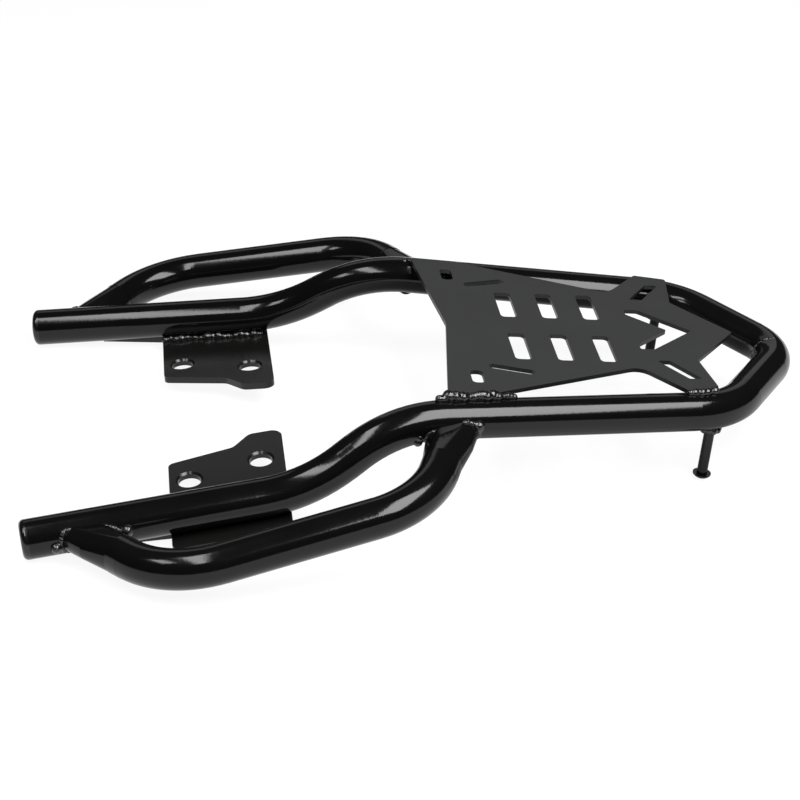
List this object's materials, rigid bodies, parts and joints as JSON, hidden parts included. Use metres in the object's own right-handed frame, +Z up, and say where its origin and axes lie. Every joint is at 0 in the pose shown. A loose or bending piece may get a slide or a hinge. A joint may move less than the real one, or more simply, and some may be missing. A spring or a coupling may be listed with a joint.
{
  "type": "motorcycle luggage rack",
  "caption": "Welded tubular motorcycle luggage rack with side grab handles, a slotted flat luggage plate and drilled mounting brackets",
  "frame": {"origin": "middle of the luggage plate's upper face, on the rack's centreline", "axes": "+X points to the tail, +Y to the right-hand side, +Z up; millimetres in the source, metres in the row"},
  "size_m": [0.4472, 0.37, 0.0864],
  "materials": {
    "tube_paint": "gloss black coat over steel tube",
    "plate_paint": "satin charcoal coat on sheet steel",
    "bracket_paint": "satin brown-grey coat on steel plate",
    "weld_paint": "gloss black coat over rippled weld metal",
    "peg_paint": "gloss black coat over a steel pin",
    "plug_plastic": "pressed-in black plastic plug"
  },
  "bodies": {
    "root": {"left_rail": "tube_paint", "right_rail": "tube_paint", "left_handle": "tube_paint", "right_handle": "tube_paint", "left_bracket": "bracket_paint", "right_bracket": "bracket_paint", "luggage_plate": "plate_paint", "left_peg": "peg_paint", "right_peg": "peg_paint", "left_end_plug": "plug_plastic", "right_end_plug": "plug_plastic", "plate_welds": "weld_paint", "left_bracket_weld": "weld_paint", "right_bracket_weld": "weld_paint", "left_handle_front_weld": "weld_paint", "right_handle_front_weld": "weld_paint", "left_handle_rear_weld": "weld_paint", "right_handle_rear_weld": "weld_paint", "peg_welds": "weld_paint", "tail_weld": "weld_paint"}
  },
  "joints": []
}
